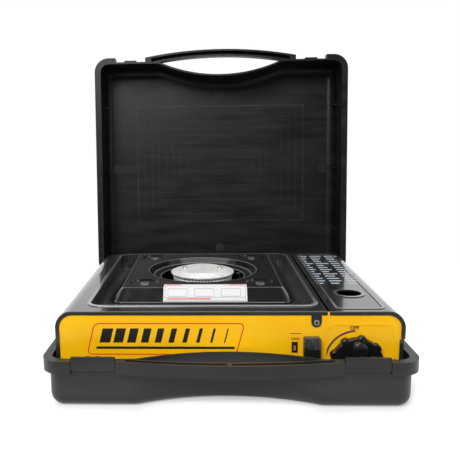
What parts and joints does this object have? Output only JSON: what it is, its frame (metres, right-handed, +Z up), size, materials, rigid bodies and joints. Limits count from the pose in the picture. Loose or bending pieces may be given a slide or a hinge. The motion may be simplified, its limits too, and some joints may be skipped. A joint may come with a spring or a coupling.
{
  "type": "portable gas stove",
  "caption": "Portable gas stove in an open carry case, with a lift-off pan support, round burner, hinged cartridge cover, control knob and a lock lever that works a cartridge hook.",
  "frame": {"origin": "middle of the carry case's underside", "axes": "+X to the right seen from the front, +Y to the back, +Z up; the front panel with the knob faces -Y"},
  "size_m": [0.36, 0.4127, 0.3767],
  "materials": {
    "case_plastic": "matte blow-moulded plastic",
    "black_paint": "semi-gloss black paint on sheet steel",
    "yellow_paint": "gloss yellow paint on sheet steel",
    "black_enamel": "gloss black enamel",
    "burner_alloy": "die-cast alloy",
    "plain_steel": "zinc-plated steel",
    "nozzle_brass": "turned brass",
    "knob_plastic": "gloss black plastic",
    "lever_plastic": "grey ribbed plastic",
    "white_ceramic": "glazed white ceramic",
    "lead_rubber": "insulated lead",
    "foot_rubber": "moulded rubber"
  },
  "bodies": {
    "case_base": {"case_base": "case_plastic", "case_hinge_pins": "plain_steel"},
    "case_lid": {"case_lid": "case_plastic"},
    "latch_left": {"latch_left": "case_plastic"},
    "latch_right": {"latch_right": "case_plastic"},
    "stove": {"base_pan": "black_paint", "front_panel": "yellow_paint", "top_plate": "black_paint", "heat_shield": "plain_steel", "feet": "foot_rubber", "panel_screw": "plain_steel", "cover_hinge_pins": "plain_steel", "burner_head": "burner_alloy", "burner_cap": "burner_alloy", "burner_screws": "plain_steel", "burner_bracket": "plain_steel", "mixing_tube": "plain_steel", "electrode": "plain_steel", "insulator": "white_ceramic", "electrode_bracket": "plain_steel", "ignition_lead": "lead_rubber", "cartridge_rests": "foot_rubber", "gas_governor": "burner_alloy", "governor_bracket": "plain_steel", "gas_nozzle": "nozzle_brass", "valve_housing": "burner_alloy", "piezo_igniter": "knob_plastic", "lever_guide": "plain_steel", "lever_spring": "plain_steel", "lever_bracket": "plain_steel"},
    "pan_support": {"pan_support": "black_enamel", "support_legs": "black_enamel", "support_rivets": "plain_steel"},
    "cartridge_cover": {"cartridge_cover": "black_paint"},
    "control_knob": {"control_knob": "knob_plastic", "valve_spindle": "nozzle_brass"},
    "lock_lever": {"lock_lever": "lever_plastic", "lever_slide": "plain_steel"},
    "lock_crank": {"lock_crank": "plain_steel"},
    "cartridge_hook": {"cartridge_hook": "plain_steel"}
  },
  "joints": [
    {"name": "lid_hinge", "type": "hinge", "parent": "case_base", "child": "case_lid", "pos_m": [0, 0.1605, 0.0495], "axis": [-1, 0, 0], "range_deg": [-95, 0]},
    {"name": "left_latch_hinge", "type": "hinge", "parent": "case_base", "child": "latch_left", "pos_m": [-0.1285, -0.156, 0.0425], "axis": [1, 0, 0], "range_deg": [0, 60]},
    {"name": "right_latch_hinge", "type": "hinge", "parent": "case_base", "child": "latch_right", "pos_m": [0.1285, -0.156, 0.0425], "axis": [1, 0, 0], "range_deg": [0, 60]},
    {"name": "stove_lift", "type": "slide", "parent": "case_base", "child": "stove", "axis": [0, 0, 1], "range_m": [0, 0.15]},
    {"name": "support_lift", "type": "slide", "parent": "stove", "child": "pan_support", "axis": [0, 0, 1], "range_m": [0, 0.08]},
    {"name": "cover_hinge", "type": "hinge", "parent": "stove", "child": "cartridge_cover", "pos_m": [0.1, 0, 0.087], "axis": [0, -1, 0], "range_deg": [0, 95]},
    {"name": "knob_turn", "type": "hinge", "parent": "stove", "child": "control_knob", "pos_m": [0.124, -0.13, 0.0395], "axis": [0, -1, 0], "range_deg": [0, 130]},
    {"name": "lever_slide", "type": "slide", "parent": "stove", "child": "lock_lever", "axis": [0, 0, -1], "range_m": [0, 0.012], "stiffness_N_per_m": 150, "springref_m": -0.01, "deforming": ["lever_spring"]},
    {"name": "crank_turn", "type": "hinge", "parent": "stove", "child": "lock_crank", "pos_m": [0.087, -0.106, 0.055], "axis": [1, 0, 0], "range_deg": [0, 41.2]},
    {"name": "hook_slide", "type": "slide", "parent": "stove", "child": "cartridge_hook", "axis": [0, -1, 0], "range_m": [0, 0.0057]}
  ],
  "couplings": [
    {"joint": "crank_turn", "follows": "lever_slide", "rad_per_m": 59.795},
    {"joint": "hook_slide", "follows": "lever_slide", "ratio": 0.46816}
  ]
}
